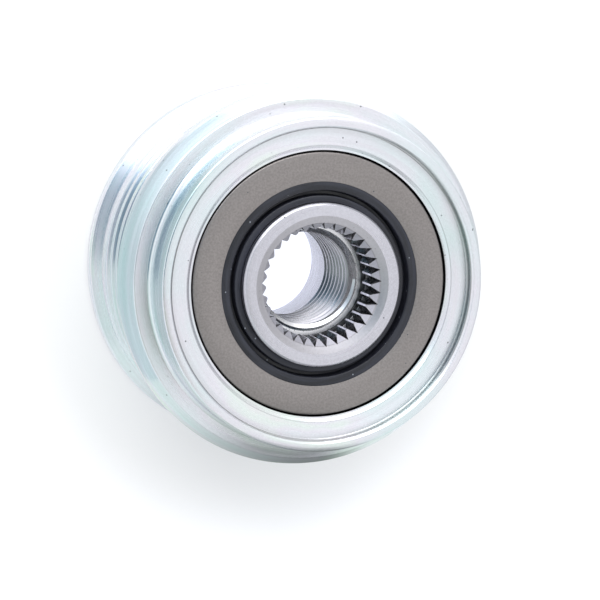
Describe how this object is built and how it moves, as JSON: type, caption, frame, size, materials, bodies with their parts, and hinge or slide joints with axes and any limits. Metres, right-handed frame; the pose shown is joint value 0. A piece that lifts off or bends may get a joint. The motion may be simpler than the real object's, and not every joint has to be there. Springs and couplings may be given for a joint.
{
  "type": "alternator pulley",
  "caption": "Steel pulley for a ribbed belt, with front and rear flanges, a roller clutch and needle bearings inside, a toothed socket and a threaded hub.",
  "frame": {"origin": "centre of the rim's rear face, on the pulley's axis", "axes": "+Z along the axis, out of the open front face; X and Y lie in the rear face"},
  "size_m": [0.0588, 0.0588, 0.0338],
  "materials": {
    "plated_steel": "bright zinc plating over turned steel",
    "hub_steel": "ground and hardened steel",
    "seal_steel": "satin pressed steel",
    "bearing_steel": "polished bearing steel",
    "spring_steel": "thin spring strip",
    "cage_plastic": "moulded nylon",
    "seal_rubber": "moulded rubber"
  },
  "bodies": {
    "hub": {"inner_ring": "hub_steel", "ramp_sleeve": "bearing_steel", "clutch_cage": "cage_plastic", "clutch_springs": "spring_steel", "front_thrust_disc": "bearing_steel", "rear_thrust_disc": "bearing_steel"},
    "pulley": {"pulley_rim": "plated_steel", "outer_sleeve": "bearing_steel", "front_seal_carrier": "seal_steel", "front_seal_lip": "seal_rubber", "rear_seal_carrier": "seal_steel", "rear_seal_lip": "seal_rubber"},
    "front_needles": {"front_bearing_cage": "cage_plastic", "front_bearing_rollers": "bearing_steel"},
    "rear_needles": {"rear_bearing_cage": "cage_plastic", "rear_bearing_rollers": "bearing_steel"},
    "lock_rollers": {"clutch_rollers": "bearing_steel"}
  },
  "joints": [
    {"name": "pulley_spin", "type": "hinge", "parent": "hub", "child": "pulley", "pos_m": [0, 0, 0.0159], "axis": [0, 0, 1], "continuous": true},
    {"name": "front_needle_roll", "type": "hinge", "parent": "hub", "child": "front_needles", "pos_m": [0, 0, 0.02325], "axis": [0, 0, 1], "continuous": true},
    {"name": "rear_needle_roll", "type": "hinge", "parent": "hub", "child": "rear_needles", "pos_m": [0, 0, 0.00855], "axis": [0, 0, 1], "continuous": true},
    {"name": "clutch_release", "type": "hinge", "parent": "hub", "child": "lock_rollers", "pos_m": [0, 0, 0.0159], "axis": [0, 0, 1], "range_deg": [0, 2], "stiffness_Nm_per_rad": 0.02, "springref_deg": -1.15}
  ],
  "couplings": [
    {"joint": "front_needle_roll", "follows": "pulley_spin", "ratio": 0.5629},
    {"joint": "rear_needle_roll", "follows": "pulley_spin", "ratio": 0.5629}
  ]
}
